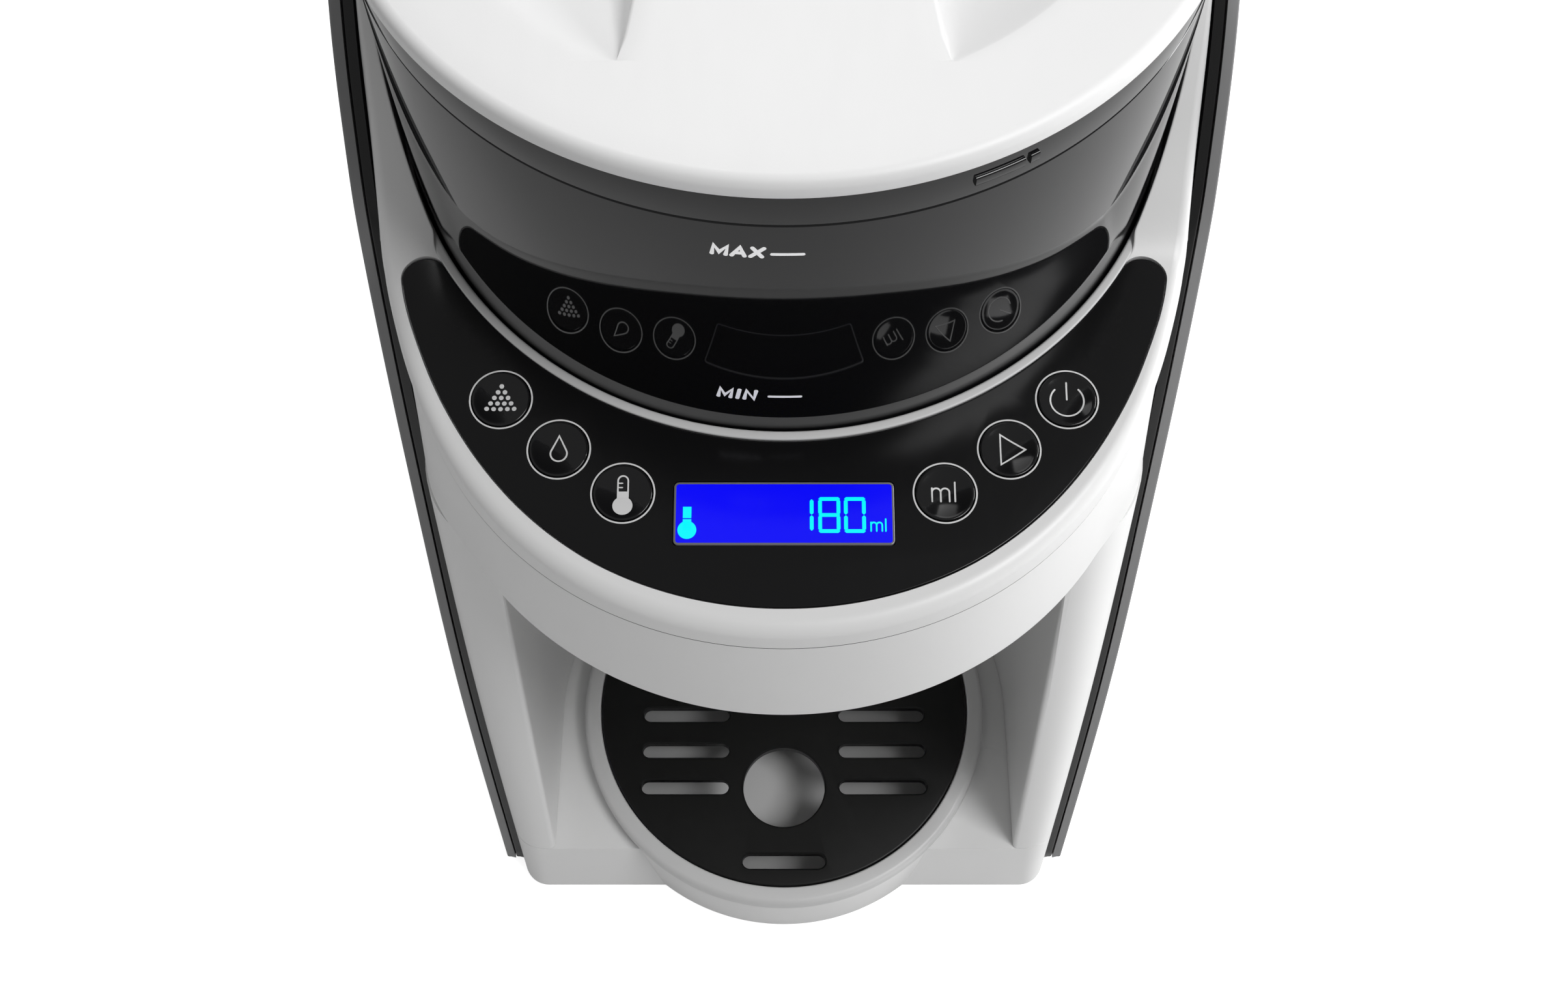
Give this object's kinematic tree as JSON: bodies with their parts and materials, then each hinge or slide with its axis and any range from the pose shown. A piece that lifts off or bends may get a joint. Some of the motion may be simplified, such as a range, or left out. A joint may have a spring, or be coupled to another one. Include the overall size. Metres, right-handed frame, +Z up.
{
  "type": "baby formula maker",
  "caption": "Countertop machine with a water tank, a twist-lock powder drum and a control panel; it mixes water and powder through a funnel into a bottle on the drip tray.",
  "frame": {"origin": "on the counter, under the middle of the outline seen from above, which is also under the drum's axis", "axes": "+X to the machine's right as seen from the front, +Y to the back, +Z up; the front faces -Y"},
  "size_m": [0.213, 0.3166, 0.3503],
  "materials": {
    "white_shell": "satin moulded white",
    "light_grey": "satin moulded light grey",
    "side_grey": "satin moulded grey",
    "gloss_black": "polished black",
    "panel_black": "polished black with printed signs",
    "display_blue": "lit blue display behind a clear window",
    "satin_black": "satin moulded black",
    "smoked_plastic": "polished smoked clear plastic",
    "natural_nylon": "satin moulded",
    "silicone": "soft translucent silicone",
    "black_rubber": "matt rubber",
    "steel": "plain steel",
    "circuit_board": "green circuit board"
  },
  "bodies": {
    "body": {"base": "white_shell", "base_plate": "satin_black", "foot_front_left": "black_rubber", "foot_front_right": "black_rubber", "foot_back_left": "black_rubber", "foot_back_right": "black_rubber", "housing": "white_shell", "rear_cover": "white_shell", "head_ring": "white_shell", "head_floor": "white_shell", "top_shell": "white_shell", "container_socket": "light_grey", "side_trim_left": "gloss_black", "side_trim_right": "gloss_black", "side_panel_left": "side_grey", "side_panel_right": "side_grey", "control_panel": "panel_black", "display_window": "display_blue", "display_module": "satin_black", "button_board": "circuit_board", "funnel_holder": "natural_nylon", "water_nozzle": "natural_nylon", "gear_motor": "steel", "motor_mount": "steel", "tank_seat": "black_rubber", "pump": "satin_black", "heater": "steel", "hose_tank_pump": "silicone", "hose_pump_heater": "silicone", "hose_heater_nozzle": "silicone", "power_board": "circuit_board", "power_inlet": "satin_black"},
    "container": {"powder_container": "smoked_plastic", "scraper": "satin_black"},
    "seal": {"lid_seal": "silicone"},
    "lid": {"powder_lid": "white_shell"},
    "dosing": {"dosing_wheel": "natural_nylon", "stirrer": "natural_nylon"},
    "gear": {"drive_gear": "natural_nylon"},
    "pinion": {"drive_pinion": "steel"},
    "funnel_unit": {"funnel": "natural_nylon", "funnel_cover": "natural_nylon"},
    "tray": {"drip_tray": "light_grey"},
    "tray_grid": {"drip_tray_cover": "satin_black"},
    "tank": {"water_tank": "smoked_plastic", "valve_spring": "steel"},
    "tank_cap": {"tank_lid": "satin_black"},
    "valve": {"tank_valve": "silicone"},
    "powder_button": {"button_powder": "panel_black"},
    "water_button": {"button_water": "panel_black"},
    "temperature_button": {"button_temperature": "panel_black"},
    "volume_button": {"button_volume": "panel_black"},
    "start_button": {"button_start": "panel_black"},
    "power_button": {"button_power": "panel_black"}
  },
  "joints": [
    {"name": "container_lift", "type": "slide", "parent": "body", "child": "container", "axis": [0, 0, 1], "range_m": [0, 0.12]},
    {"name": "lid_lift", "type": "slide", "parent": "container", "child": "seal", "axis": [0, 0, 1], "range_m": [0, 0.06]},
    {"name": "lid_twist", "type": "hinge", "parent": "seal", "child": "lid", "pos_m": [0, 0, 0.345], "axis": [0, 0, 1], "range_deg": [0, 25]},
    {"name": "dosing_turn", "type": "hinge", "parent": "container", "child": "dosing", "pos_m": [0, 0, 0.23], "axis": [0, 0, 1], "continuous": true},
    {"name": "gear_turn", "type": "hinge", "parent": "body", "child": "gear", "pos_m": [0, 0, 0.208], "axis": [0, 0, 1], "continuous": true},
    {"name": "pinion_turn", "type": "hinge", "parent": "body", "child": "pinion", "pos_m": [0, 0.036, 0.208], "axis": [0, 0, 1], "continuous": true},
    {"name": "funnel_slide", "type": "slide", "parent": "body", "child": "funnel_unit", "axis": [0, -1, 0], "range_m": [0, 0.12]},
    {"name": "tray_lift", "type": "slide", "parent": "body", "child": "tray", "axis": [0, 0, 1], "range_m": [0, 0.04]},
    {"name": "grid_lift", "type": "slide", "parent": "tray", "child": "tray_grid", "axis": [0, 0, 1], "range_m": [0, 0.03]},
    {"name": "tank_lift", "type": "slide", "parent": "body", "child": "tank", "axis": [0, 0, 1], "range_m": [0, 0.1]},
    {"name": "tank_lid_lift", "type": "slide", "parent": "tank", "child": "tank_cap", "axis": [0, 0, 1], "range_m": [0, 0.05]},
    {"name": "valve_push", "type": "slide", "parent": "tank", "child": "valve", "axis": [0, 0, 1], "range_m": [0, 0.003], "stiffness_N_per_m": 150, "springref_m": -0.003, "deforming": ["valve_spring"]},
    {"name": "powder_press", "type": "slide", "parent": "body", "child": "powder_button", "axis": [0, 0.1071, -0.9942], "range_m": [0, 0.0008], "stiffness_N_per_m": 600, "springref_m": -0.0005},
    {"name": "water_press", "type": "slide", "parent": "body", "child": "water_button", "axis": [0, 0.1071, -0.9942], "range_m": [0, 0.0008], "stiffness_N_per_m": 600, "springref_m": -0.0005},
    {"name": "temperature_press", "type": "slide", "parent": "body", "child": "temperature_button", "axis": [0, 0.1071, -0.9942], "range_m": [0, 0.0008], "stiffness_N_per_m": 600, "springref_m": -0.0005},
    {"name": "volume_press", "type": "slide", "parent": "body", "child": "volume_button", "axis": [0, 0.1071, -0.9942], "range_m": [0, 0.0008], "stiffness_N_per_m": 600, "springref_m": -0.0005},
    {"name": "start_press", "type": "slide", "parent": "body", "child": "start_button", "axis": [0, 0.1071, -0.9942], "range_m": [0, 0.0008], "stiffness_N_per_m": 600, "springref_m": -0.0005},
    {"name": "power_press", "type": "slide", "parent": "body", "child": "power_button", "axis": [0, 0.1071, -0.9942], "range_m": [0, 0.0008], "stiffness_N_per_m": 600, "springref_m": -0.0005}
  ],
  "couplings": [
    {"joint": "gear_turn", "follows": "dosing_turn", "ratio": 1},
    {"joint": "pinion_turn", "follows": "dosing_turn", "ratio": -3}
  ]
}
